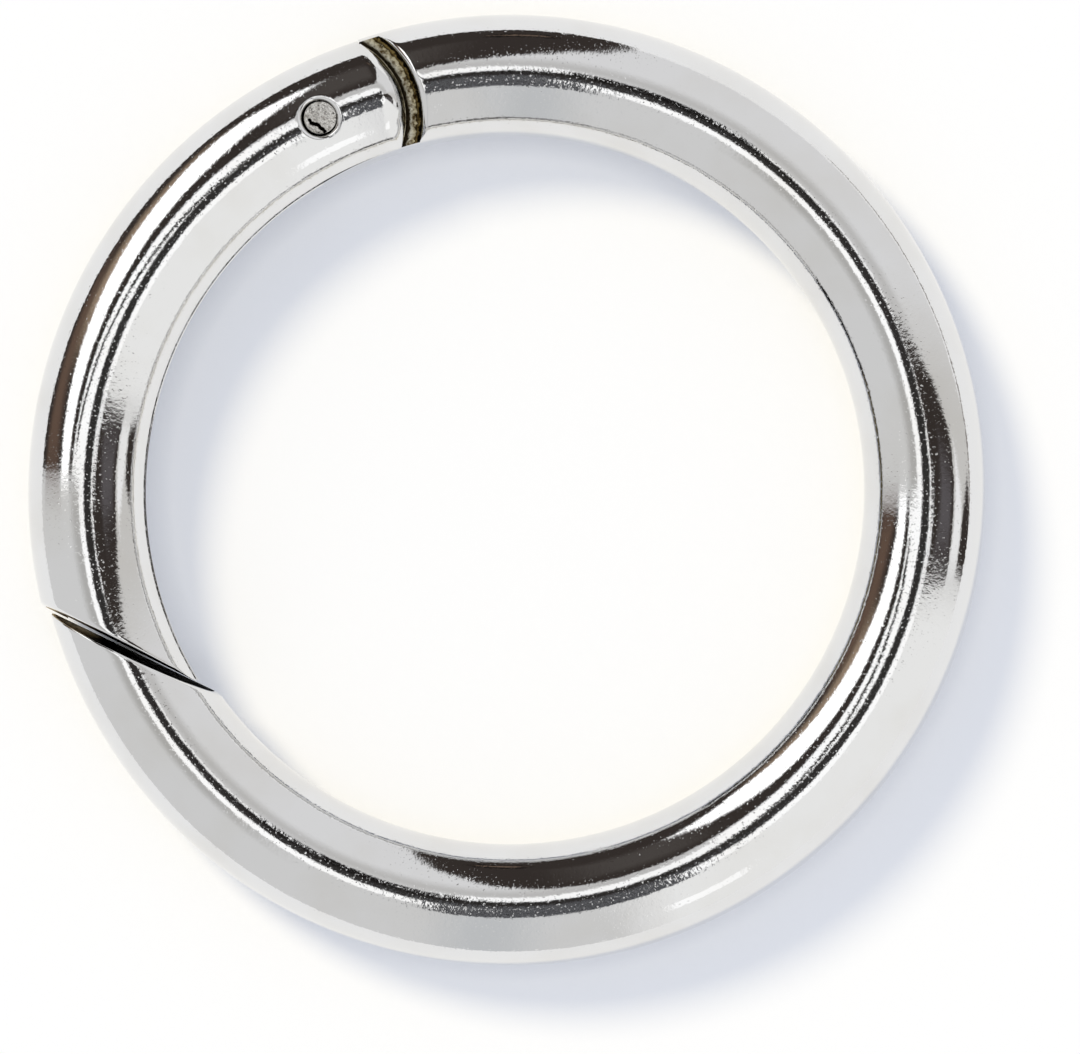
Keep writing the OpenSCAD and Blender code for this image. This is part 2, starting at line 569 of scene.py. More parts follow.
@dataclass(frozen=True)
class Plate:
    """A metal finish: its colours, its roughness and the unevenness under it."""

    name: str
    colour: str
    stain: str
    stain_mm: float
    roughness: tuple[float, float]
    rough_mm: float
    dents: tuple[Dent, ...]
    stain_share: tuple[float, float] = (0.45, 0.75)
    rough_share: tuple[float, float] = (0.35, 0.7)
    # Painted shade: tints that multiply the colour by distance from an upright axis through
    # bands_about.
    bands: tuple[tuple[float, str], ...] = ()
    bands_about: tuple[float, float] = (0.0, 0.0)
    bands_wander: float = 0.35
    # Tints the glancing reflection with the colour too, so that painted shade holds at a glancing
    # look.
    shade_tinted_edge: bool = False

    def make(self) -> bpy.types.Material:
        """Builds the material.

        Returns:
            The material.
        """
        material, tree = fresh_material(self.name)
        place = add_node(tree, "TexCoord").outputs["Object"]
        stain = add_node(
            tree, "TexNoise", {"Vector": place, "Scale": grain(self.stain_mm), "Detail": 3.0}
        )
        low, high = self.stain_share
        share = add_node(tree, "MapRange", {"Value": stain, "From Min": low, "From Max": high})
        colours = {0: share, 6: linear(self.colour), 7: linear(self.stain)}
        base = add_node(tree, "Mix", colours, data_type="RGBA").outputs[2]
        # Paints shade into the colour in bands.
        if self.bands:
            base = self.paint_shade_bands(tree, place, stain, base)
        haze = add_node(
            tree, "TexNoise", {"Vector": place, "Scale": grain(self.rough_mm), "Detail": 4.0}
        )
        low, high = self.rough_share
        spread = {"From Min": low, "From Max": high}
        low, high = self.roughness
        rough = add_node(tree, "MapRange", {"Value": haze, **spread, "To Min": low, "To Max": high})
        relief: dict[str, Any] = {}
        for dent in self.dents:
            height = add_node(
                tree,
                "TexNoise",
                {"Vector": place, "Scale": grain(dent.size_mm), "Detail": dent.detail},
            )
            if dent.threshold is not None:
                height = add_node(
                    tree,
                    "MapRange",
                    {"Value": height, "From Min": dent.threshold, "From Max": 1.0},
                    interpolation_type="SMOOTHSTEP",
                )
            depth = dent.depth_mm * MM
            bump = {"Height": height, "Strength": 1.0, "Distance": depth, **relief}
            relief = {"Normal": add_node(tree, "Bump", bump)}
        # Painted shade in the glancing reflection: it takes the colour's tint.
        edge = {"Specular Tint": base} if self.shade_tinted_edge else {}
        shader = add_node(
            tree,
            "BsdfPrincipled",
            {"Metallic": 1.0, "Base Color": base, "Roughness": rough, **relief, **edge},
        )
        add_node(tree, "OutputMaterial", {"Surface": shader})
        return material

    def paint_shade_bands(self, tree: bpy.types.NodeTree, place: Any, wobble: Any, base: Any) -> Any:
        """Paints shade into the colour, as bands of tint round an upright axis.

        Args:
            tree: The material's node tree.
            place: Socket of the point's place.
            wobble: The noise that makes the bands' edges wander.
            base: Socket of the colour under the bands.

        Returns:
            Socket of the tinted colour.
        """
        about = (-self.bands_about[0] * MM, -self.bands_about[1] * MM, 0.0)
        moved = add_node(tree, "VectorMath", {0: place, 1: about})
        flat = add_node(tree, "VectorMath", {0: moved, 1: (1.0, 1.0, 0.0)}, operation="MULTIPLY")
        radius = add_node(tree, "VectorMath", {0: flat}, operation="LENGTH").outputs["Value"]
        terms = {0: wobble, 1: self.bands_wander * MM, 2: radius}
        wander = add_node(tree, "Math", terms, operation="MULTIPLY_ADD")
        low, high = self.bands[0][0], self.bands[-1][0]
        begin, end = ((reach + self.bands_wander / 2) * MM for reach in (low, high))
        share = add_node(tree, "MapRange", {"Value": wander, "From Min": begin, "From Max": end})
        ramp = add_node(tree, "ValToRGB", {"Fac": share})
        stops = ramp.color_ramp.elements
        for reach, colour in self.bands[1:-1]:
            stops.new((reach - low) / (high - low)).color = linear(colour)
        stops[0].color, stops[-1].color = linear(self.bands[0][1]), linear(self.bands[-1][1])
        tints = {0: 1.0, 6: base, 7: ramp}
        return add_node(
            tree, "Mix", tints, data_type="RGBA", blend_type="MULTIPLY"
        ).outputs[2]


# Bright nickel over a polished die casting: a clear, faintly warm mirror whose reflections
# waver where the casting under it is uneven, with fine pits that catch the light as specks.
NICKEL_PLATE = Plate(
    name="nickel_plate_polished",
    colour="E4E4E4",
    stain="DFDEDC",
    stain_mm=4.0,
    roughness=(0.03, 0.07),
    rough_mm=0.8,
    dents=(
        Dent(size_mm=2.6, depth_mm=0.012),
        Dent(size_mm=0.9, depth_mm=0.003),
        Dent(size_mm=0.2, depth_mm=0.0028, detail=2.0),
        Dent(size_mm=0.12, depth_mm=0.006, threshold=0.6),
    ),
)

# The same plate over the casting's own skin, where no wheel reaches: grainy and dull, with a khaki
# tint in its hollows. Painted shade: rings of dark tint round the pin paint it nearly black in the
# corners beside the hinge's gap, where shade falls.
NICKEL_CAST_PAINTED_SHADE = Plate(
    name="nickel_plate_as_cast_painted_shade",
    colour="D6D2C0",
    stain="5A4C34",
    stain_mm=0.22,
    roughness=(0.25, 0.5),
    rough_mm=0.3,
    dents=(Dent(size_mm=0.3, depth_mm=0.1, detail=3.0), Dent(size_mm=0.1, depth_mm=0.03)),
    stain_share=(0.42, 0.66),
    # Painted shade: dark rings round the pin in the corners beside the hinge's gap, lighter bands
    # between.
    bands=(
        (4.15, "2A241C"),
        (4.34, "3A3226"),
        (4.42, "FFFFFF"),
        (4.68, "F4EBD2"),
        (4.73, "3A2E1C"),
        (4.79, "A08C60"),
        (4.83, "A08C60"),
        (4.89, "1C1712"),
        (5.0, "1C1712"),
        (5.1, "B0A890"),
    ),
    bands_about=(-9.3068, 18.2656),
)

# Painted shade down in the mouth: the slanted faces are painted brown-black out to near the
# outside, and tinted so also at a glancing look, where bright metal turns to a mirror. This stands
# in for the shade between the two faces across the narrow gap. At the outside they are a grainy
# beige.
# The pin's tear takes this finish too.
PLATE_PAINTED_SHADE = Plate(
    name="plate_painted_shade",
    colour="C4B69C",
    stain="7E6A4C",
    stain_mm=0.4,
    roughness=(0.35, 0.6),
    rough_mm=0.3,
    dents=(Dent(size_mm=0.4, depth_mm=0.04, detail=3.0), Dent(size_mm=0.12, depth_mm=0.015)),
    # Painted shade: near-black up to 21.4 mm from the ring's axis, the plain beige from 22.1 mm
    # out.
    bands=((16.0, "1C1410"), (21.4, "14100C"), (22.1, "FFFFFF"), (24.0, "FFFFFF")),
    # The glancing reflection is tinted dark too, as painted shade.
    shade_tinted_edge=True,
)

# Mild steel sheared to length and flash plated: torn, bright grains. The tear across each end is a
# groove whose faces take the pin's second finish, the dark painted shade of the mouth, so it is
# painted dark for its shade.
SHEARED_STEEL = Plate(
    name="steel_sheared_plated",
    colour="D9D7D2",
    stain="A39F98",
    stain_mm=0.25,
    roughness=(0.12, 0.3),
    rough_mm=0.2,
    dents=(Dent(size_mm=0.3, depth_mm=0.03, detail=2.0), Dent(size_mm=0.1, depth_mm=0.008)),
)

# Spring wire as it leaves the die: grey, drawn smooth, with a soft sheen.
DRAWN_WIRE = Plate(
    name="steel_wire_drawn",
    colour="B7B7B8",
    stain="8F8F92",
    stain_mm=0.6,
    roughness=(0.18, 0.3),
    rough_mm=0.25,
    dents=(Dent(size_mm=0.2, depth_mm=0.003),),
)


# ---------------------------------------------------------------- the pieces


@dataclass
class RingBody:
    """The C-shaped casting, from the mouth round to the tongue that the gate turns on."""

    sizes: RingSizes
    column_deg: float = 0.5
    rim_round: float = 0.16
    shoulder_round: float = 0.3
    pin_seat_r: float = 0.81
    shoulder_fade: float = 0.45
    strip_steps: int = 16
    side_steps: int = 32
    step_columns: int = 6
    heel_columns: int = 18
    back_steps: int = 8
    head_steps: int = 10
    hole_sides: int = 48

    def section(self) -> list[SectionPoint]:
        """Lists the round section, with points where the tongue's flanks meet it."""
        s = self.sizes
        edge = math.degrees(math.asin(s.tongue_half / s.bar_r))
        points = arc_section(
            s.bar_r,
            [
                (-edge, self.strip_steps),
                (edge, self.side_steps),
                (180 - edge, self.strip_steps),
                (180 + edge, self.side_steps),
                (360 - edge, 0),
            ],
        )
        return points[:-1]

    def shoulder_rim(self, point: SectionPoint) -> float:
        """Rounds the shoulder's rim, and fades that out towards the tongue's flanks."""
        free = abs(point.z) - self.sizes.tongue_half
        return min(self.shoulder_round, max(0.0, self.shoulder_fade * free))

    def build(self) -> bpy.types.Object:
        """Builds the casting's mesh.

        Returns:
            The new object.
        """
        s = self.sizes
        near_pin = s.round_pin(s.shoulder_r)
        sheet = sweep(
            self.section(),
            True,
            s.ring_r,
            BarEnd(s.mouth_face(1), lambda _point: self.rim_round),
            BarEnd(lambda r, z: near_pin(r, z) + ROUND, self.shoulder_rim, steps=6),
            math.radians(self.column_deg),
        )
        bm, end = sheet.bm, sheet.columns
        outer = sheet.column_edges(end, range(self.strip_steps))
        first = self.strip_steps + self.side_steps
        inner = sheet.column_edges(end, range(first, first + self.strip_steps))
        upper = sheet.column_edges(end, range(self.strip_steps, first))
        lower = sheet.column_edges(end, range(first + self.strip_steps, sheet.rows))
        for rim, z in ((upper, s.tongue_half), (lower, -s.tongue_half)):
            pull(bm, rim, lambda co, z=z: (co.x, co.y, z))
        self.pull_tongue(bm, self.pull_round(bm, outer, s.step, self.step_columns))
        self.pull_round(bm, inner, s.heel, self.heel_columns)
        weld(bm)
        self.close_flanks(bm)
        rim = s.bar_r - self.rim_round
        s.close_mouth(bm, (s.ring_r - rim, s.ring_r + rim), 1)
        return finish_mesh(bm, "RingBody", s.bar_r)

    @staticmethod
    def pull_round(bm: BMesh, edges: list[BMEdge], to: float, steps: int) -> list[BMEdge]:
        """Carries a strip of the bar's surface on round the ring, over the tongue.

        Args:
            bm: The mesh.
            edges: The strip's last edges.
            to: The angle that the strip ends at.
            steps: Number of columns.

        Returns:
            The strip's new last edges.
        """
        begin = {
            round(v.co.z, 3): math.atan2(v.co.y, v.co.x) for edge in edges for v in edge.verts
        }
        for step in range(1, steps + 1):

            def place(co: Vector, share: float = step / steps) -> Vector:
                low = begin[round(co.z, 3)]
                return turned(co.xy.length, low + (to - low) * share, co.z)

            edges = pull(bm, edges, place)
        return edges

    def pull_tongue(self, bm: BMesh, edges: list[BMEdge]) -> None:
        """Carries the outer strip on down the step, round the tongue's head and up its heel.

        Args:
            bm: The mesh.
            edges: The strip's last edges.
        """
        s = self.sizes
        for radius, angle in self.tongue_outline():
            edges = pull(
                bm, edges, lambda co, r=radius, a=angle: turned(r, a, co.z), Skin.ROUGH
            )

        def heel(co: Vector) -> Vector:
            return turned(s.ring_r - math.sqrt(s.bar_r**2 - co.z**2), s.heel, co.z)

        pull(bm, edges, heel, Skin.ROUGH)

    def tongue_outline(self) -> list[tuple[float, float]]:
        """Lists the tongue's back, from the step under the gate round its head to the heel.

        Returns:
            Radius and angle of each point about the ring's axis.
        """
        s = self.sizes
        top = s.tongue_back_r**2 + s.ring_r**2 - s.head_r**2
        meet = s.hinge - math.acos(top / (2 * s.tongue_back_r * s.ring_r))
        outline = [
            (s.tongue_back_r, s.step + (meet - s.step) * k / self.back_steps)
            for k in range(self.back_steps + 1)
        ]
        begin = turned(s.tongue_back_r, meet) - s.pin_centre
        low = math.atan2(begin.y, begin.x)
        high = s.hinge + self.head_end()
        for k in range(1, self.head_steps + 1):
            point = s.pin_centre + turned(s.head_r, low + (high - low) * k / self.head_steps)
            outline.append((point.xy.length, math.atan2(point.y, point.x)))
        return outline

    def head_end(self) -> float:
        """Closes in on the direction from the pin in which the tongue's head meets the heel."""
        s = self.sizes
        slope = math.tan(s.heel - s.hinge)
        angle = math.pi / 2
        for _ in range(20):
            angle = math.asin(slope * (s.ring_r + s.head_r * math.cos(angle)) / s.head_r)
        return angle

    def close_flanks(self, bm: BMesh) -> None:
        """Closes the tongue's two flat flanks round the hole that the pin sits in.

        Args:
            bm: The mesh.
        """
        s = self.sizes
        up = Vector((0, 0, s.tongue_half))
        rim = hoop(bm, self.pin_seat_r, self.hole_sides, s.pin_centre + up)
        pull(bm, rim, lambda co: (co.x, co.y, -s.tongue_half))
        for side in (1, -1):
            fill_level(bm, side * s.tongue_half, Skin.ROUGH)


@dataclass
class Gate:
    """The channelled gate, from its two ears on the pin to its slanted end at the mouth."""

    sizes: RingSizes
    column_deg: float = 0.5
    rim_round: float = 0.18
    ear_round: float = 0.95
    ear_fade: float = 0.75
    mouth_fade: float = 0.6
    lip_from_deg: float = 154.0
    lip_wall_x: float = -2.7
    lip_corner: tuple[float, float] = (-2.82, 1.2)
    lip_steps: int = 6
    web_steps: int = 16
    side_steps: int = 31
    hole_r: float = 0.85
    hole_rim: float = 0.22
    hole_rim_depth: float = 0.3
    hole_shift: float = 0.045
    hole_rim_steps: int = 6
    patch_half: float = 1.55
    patch_steps: int = 5
    seat: float = math.radians(149.43)
    seat_end: float = math.radians(152.78)
    seat_top_r: float = 18.3
    floor_steps: tuple[int, int, int] = (40, 3, 50)

    def section(self) -> list[SectionPoint]:
        """Lists the gate's outer section, from the upper lip round the back to the lower one."""
        s = self.sizes
        edge = math.degrees(math.asin(s.slot_half / s.bar_r))
        arc = arc_section(
            s.bar_r,
            [
                (-self.lip_from_deg, self.side_steps),
                (-edge, self.web_steps),
                (edge, self.side_steps),
                (self.lip_from_deg, 0),
            ],
        )
        lip = self.lip(arc[-1])
        low = [SectionPoint(p.x, -p.z, p.nx, -p.nz) for p in reversed(lip)]
        return low + arc + lip

    def lip(self, arc_end: SectionPoint) -> list[SectionPoint]:
        """Rounds the lip where the outside turns into the channel.

        Args:
            arc_end: The last point of the outer arc.

        Returns:
            The points after it, up to the channel's wall.
        """
        corner = Vector(self.lip_corner)
        begin = Vector((arc_end.x, arc_end.z))
        wall = Vector((self.lip_wall_x, self.sizes.slot_half))
        points = []
        for k in range(1, self.lip_steps + 1):
            t = k / self.lip_steps
            at = begin * (1 - t) ** 2 + corner * 2 * t * (1 - t) + wall * t**2
            slope = (corner - begin) * (1 - t) + (wall - corner) * t
            points.append(SectionPoint(at.x, at.y, *Vector((slope.y, -slope.x)).normalized()))
        return points

    def ear_rim(self, point: SectionPoint) -> float:
        """Rounds the ears' ends over, most at the crown, and fades that out by the channel."""
        free = abs(point.z) - self.sizes.slot_half
        return min(self.ear_round, max(0.0, self.ear_fade * free))

    def mouth_rim(self, point: SectionPoint) -> float:
        """Rounds the rim at the mouth, and fades that out towards the lips."""
        lip = self.lip_wall_x
        return self.rim_round * smooth(point.x, lip, lip + self.mouth_fade)

    def ear_start(self, radius: float, z: float) -> float:
        """Gives the angle at which each line of the gate starts, at an ear or at the web."""
        s = self.sizes
        return s.stop if abs(z) < s.slot_half - TINY else s.round_pin(s.ear_r)(radius, z)

    def build(self) -> bpy.types.Object:
        """Builds the gate's mesh, turned about the pin to where it shuts.

        Returns:
            The new object.
        """
        s = self.sizes
        section = self.section()
        sheet = sweep(
            section,
            False,
            s.ring_r,
            BarEnd(self.ear_start, self.ear_rim, steps=8),
            BarEnd(s.mouth_face(-1), self.mouth_rim),
            math.radians(self.column_deg),
        )
        bm = sheet.bm
        ear_rows = self.lip_steps + self.side_steps
        lower = sheet.column_edges(0, range(ear_rows))
        web = sheet.column_edges(0, range(ear_rows, ear_rows + self.web_steps))
        upper = sheet.column_edges(0, range(ear_rows + self.web_steps, sheet.rows - 1))
        for side in (1, -1):
            self.open_pin_hole(sheet, section, side)
        for rim, z in ((upper, s.slot_half), (lower, -s.slot_half)):
            pull(bm, rim, lambda co, z=z: (co.x, co.y, z))
        mouth = s.mouth_face(-1)
        floor = web
        for radius, angle in self.channel_outline():
            floor = pull(
                bm, floor, lambda co, r=radius, a=angle: turned(r, a, co.z), Skin.ROUGH
            )
        for vert in {v for edge in floor for v in edge.verts}:
            vert.co = turned(s.floor_r, mouth(s.floor_r, vert.co.z), vert.co.z)
        weld(bm)
        self.close_walls(bm)
        s.close_mouth(bm, (s.floor_r, s.ring_r + s.bar_r - self.rim_round), -1)
        s.shut(bm)
        return finish_mesh(bm, "Gate", s.bar_r)

    def channel_outline(self) -> list[tuple[float, float]]:
        """Lists the channel's floor, with the wall that the spring pushes on standing in it.

        Returns:
            Radius and angle of each point about the ring's axis, from the web's end on.
        """
        s = self.sizes
        mouth = s.mouth_face(-1)(s.floor_r, s.bar_r)
        ends = (s.stop, self.seat, self.seat_end, mouth)
        levels = (s.floor_r, self.seat_top_r, s.floor_r)
        return [
            (radius, low + (high - low) * k / steps)
            for radius, low, high, steps in zip(levels, ends, ends[1:], self.floor_steps)
            for k in range(steps + 1)
        ]

    def close_walls(self, bm: BMesh) -> None:
        """Closes the channel's two flat walls.

        Args:
            bm: The mesh.
        """
        s = self.sizes
        mouth = s.mouth_face(-1)
        lip_r = s.ring_r + self.lip_wall_x
        for z in (s.slot_half, -s.slot_half):
            join(bm, bm.verts, [turned(r, mouth(r, z), z) for r in (lip_r, s.floor_r)])
            fill_level(bm, z, Skin.POLISHED)

    def open_pin_hole(self, sheet: Swept, section: list[SectionPoint], side: int) -> None:
        """Opens the pin's hole in one ear, with its soft rim, down to the channel.

        Args:
            sheet: The gate's outer sheet.
            section: The section that it was swept from.
            side: 1 for the upper ear, -1 for the lower one.
        """
        s, bm = self.sizes, sheet.bm
        along = turned(1.0, s.hinge + math.pi / 2)
        centre = s.pin_centre + along * self.hole_shift
        rows = [
            k
            for k, p in enumerate(section)
            if p.z * side > s.slot_half and abs(p.x) < self.patch_half
        ]
        crown = min(rows, key=lambda k: abs(section[k].x))
        columns = [
            c
            for c in range(sheet.columns)
            if abs((sheet.verts[(c, crown)].co - centre).dot(along)) < self.patch_half
        ]
        patch = {sheet.verts[(c, r)] for c in columns for r in rows}
        inside = [f for f in bm.faces if set(f.verts) <= patch]
        bmesh.ops.delete(bm, geom=inside, context="FACES")
        edges = [e for e in bm.edges if len(e.link_faces) == 1 and set(e.verts) <= patch]
        rim_r = self.hole_r + self.hole_rim

        def at(co: Vector, reach: float, sink: float) -> Sequence[float]:
            spoke = (co - centre).xy.normalized()
            flat = centre.xy + spoke * reach
            rim = centre.xy + spoke * max(reach, rim_r)
            height = math.sqrt(s.bar_r**2 - (rim.length - s.ring_r) ** 2) - sink
            return flat.x, flat.y, side * height

        for left in range(self.patch_steps, 0, -1):

            def nearer(co: Vector, share: float = 1 / left) -> Sequence[float]:
                reach = (co - centre).xy.length
                return at(co, reach + (rim_r - reach) * share, 0.0)

            edges = pull(bm, edges, nearer)
        for k in range(1, self.hole_rim_steps + 1):
            turn = math.pi / 2 * k / self.hole_rim_steps
            reach = rim_r - self.hole_rim * math.sin(turn)
            sink = self.hole_rim_depth * (1 - math.cos(turn))
            edges = pull(bm, edges, lambda co, r=reach, d=sink: at(co, r, d))
        pull(bm, edges, lambda co: (co.x, co.y, side * s.slot_half), Skin.ROUGH)


@dataclass
class HingePin:
    """The steel pin, which was sheared to length, so that both its ends are torn."""

    sizes: RingSizes
    sides: int = 96
    rings: int = 24
    edge_round: float = 0.05
    edge_steps: int = 4
    grain_mm: float = 0.2
    grain_depth: float = 0.035
    tear: tuple[tuple[float, float], ...] = (
        (-0.54, -0.10),
        (-0.44, -0.25),
        (-0.24, -0.32),
        (-0.09, -0.36),
        (0.0, -0.48),
        (0.1, -0.53),
        (0.22, -0.68),
    )
    tear_edge: float = 0.02
    tear_half: float = 0.06
    tear_walls: tuple[float, float] = (0.5, 1.6)
    tear_depth: float = 0.2
    tear_wobble: float = 0.03
    tear_wobble_mm: float = 0.09
    lip_drop: float = 0.05
    lip_reach: float = 0.5

    def build(self) -> bpy.types.Object:
        """Builds the pin's mesh.

        Returns:
            The new object.
        """
        s = self.sizes
        bm = bmesh.new()
        waist = hoop(bm, s.pin_r, self.sides, Vector())
        for side in (1, -1):
            level = side * (s.pin_half - self.edge_round)
            edges = pull(bm, waist, lambda co, z=level: (co.x, co.y, z))
            for k in range(1, self.edge_steps + 1):
                turn = math.pi / 2 * k / self.edge_steps
                radius = s.pin_r - self.edge_round * (1 - math.cos(turn))
                rise = self.edge_round * math.sin(turn)
                edges = pull(bm, edges, lambda co, r=radius, d=rise: self.at(co, r, side, d))
            flat_r = s.pin_r - self.edge_round
            for k in range(1, self.rings):
                radius = flat_r * (1 - k / self.rings)
                edges = pull(bm, edges, lambda co, r=radius: self.at(co, r, side, 1.0))
            fill(bm, edges, Skin.POLISHED)
        # The tear's faces take the second slot, which holds the painted-shade finish: the tear is
        # painted dark as its shade.
        for face in bm.faces:
            middle = face.calc_center_median()
            at_end = middle.xy.length < s.pin_r - self.tear_edge
            if at_end and self.from_tear(middle)[0] < self.tear_half:
                face.material_index = Skin.ROUGH.value
        bmesh.ops.translate(bm, vec=s.pin_centre, verts=list(bm.verts))
        return finish_mesh(bm, "HingePin", s.bar_r)

    def from_tear(self, co: Vector) -> tuple[float, bool]:
        """Measures from a point to the tear across the pin's end.

        Args:
            co: The point.

        Returns:
            The distance, and whether the point is on the tear's outer side.
        """
        found = (math.inf, False)
        spot = Vector((co.x, co.y, 2.0)) / self.tear_wobble_mm
        wobble = self.tear_wobble * noise.noise(spot)
        for a, b in zip(self.tear, self.tear[1:]):
            begin, along = Vector(a), Vector(b) - Vector(a)
            to = co.xy - begin
            share = min(1.0, max(0.0, to.dot(along) / along.length_squared))
            away = to - along * share
            if away.length < found[0]:
                found = (away.length, along.cross(to) < 0)
        return max(0.0, found[0] + wobble), found[1]

    def at(self, co: Vector, radius: float, side: int, rise: float) -> tuple[float, float, float]:
        """Gives a point of the pin's end.

        Args:
            co: The point that it is pulled from.
            radius: Distance from the pin's axis.
            side: 1 for the upper end, -1 for the lower one.
            rise: Height above the start of the rounded edge, or more for the flat.

        Returns:
            The point.
        """
        s = self.sizes
        flat = co.xy.normalized() * radius
        spot = Vector((flat.x, flat.y, 5.0 * side))
        share = smooth(s.pin_r - radius, 0.0, self.edge_round)
        height = self.grain_depth * noise.turbulence(spot / self.grain_mm, 3, False)
        distance, outside = self.from_tear(spot)
        low, high = (self.tear_half * share for share in self.tear_walls)
        height -= self.tear_depth * (1 - smooth(distance, low, high))
        if outside and distance < self.lip_reach:
            height -= self.lip_drop
        top = s.pin_half - self.edge_round + min(rise, self.edge_round)
        return flat.x, flat.y, side * (top + share * (height - self.grain_depth / 2))


@dataclass
class Spring:
    """The coil spring in the gate's channel, between the tongue's heel and the seat wall."""

    sizes: RingSizes
    length: float = 9.4
    middle_r: float = 19.4
    coil_r: float = 0.82
    wire_r: float = 0.18
    end_gap: float = 0.06
    open_turns: float = 9.0
    closed_turns: float = 1.25
    closed_pitch: float = 1.04
    wire_sides: int = 14
    turn_steps: int = 26
    keep: float = 0.82

    @property
    def start(self) -> float:
        """The angle at which the spring's first coil starts, off the tongue's heel."""
        return self.sizes.heel + self.end_gap / self.middle_r

    def travel(self, turn: float) -> float:
        """Gives how far the coil has run along its middle after a number of turns."""
        close = 2 * self.wire_r * self.closed_pitch
        pitch = (self.length - 2 * self.wire_r - 2 * self.closed_turns * close) / self.open_turns
        past = max(0.0, turn - self.closed_turns)
        middle = min(past, self.open_turns)
        return close * (turn - middle) + pitch * middle

    def build(self) -> bpy.types.Object:
        """Builds the spring's mesh, in place in the shut gate.

        Returns:
            The new object.
        """
        s = self.sizes
        turns = self.open_turns + 2 * self.closed_turns
        steps = round(turns * self.turn_steps)
        bm = bmesh.new()
        bmesh.ops.create_grid(bm, x_segments=steps, y_segments=self.wire_sides, size=0.5)
        for vert in bm.verts:
            turn, around = (vert.co.x + 0.5) * turns, (vert.co.y + 0.5) * ROUND
            along = self.start + (self.wire_r + self.travel(turn)) / self.middle_r
            spin = ROUND * turn
            reach = self.coil_r + self.wire_r * math.cos(around)
            spot = turned(self.middle_r + reach * math.cos(spin), along, reach * math.sin(spin))
            tangent = turned(1.0, along + math.pi / 2)
            vert.co = spot + tangent * self.wire_r * math.sin(around)
        weld(bm)
        fill(bm, open_edges(bm, lambda _co: True), Skin.POLISHED)
        s.shut(bm)
        return finish_mesh(bm, "GateSpring", s.bar_r)

    def ends(self) -> tuple[Vector, Vector]:
        """Gives the middles of the spring's two ends in metres, at the seat wall and the heel."""
        s = self.sizes
        spots = []
        for angle in (self.start + self.length / self.middle_r, self.start):
            spot = s.shut_turn @ (turned(self.middle_r, angle) - s.pin_centre)
            spots.append((spot + s.pin_centre + Vector((0, 0, s.bar_r))) * MM)
        return spots[0], spots[1]


# ---------------------------------------------------------------- the studio


@dataclass(frozen=True)
class Card:
    """A flat of card or cloth that stands round the ring, as the metal mirrors it.

    Its corners are pairs of azimuth and elevation in degrees, anticlockwise as seen on a
    map of them, and they bound a convex shape.
    """

    colour: str
    corners: tuple[tuple[float, float], ...]
    softness: float = 1.5
    gain: float = 1.0
    blocks: bool = False
    slats: float = 0.0


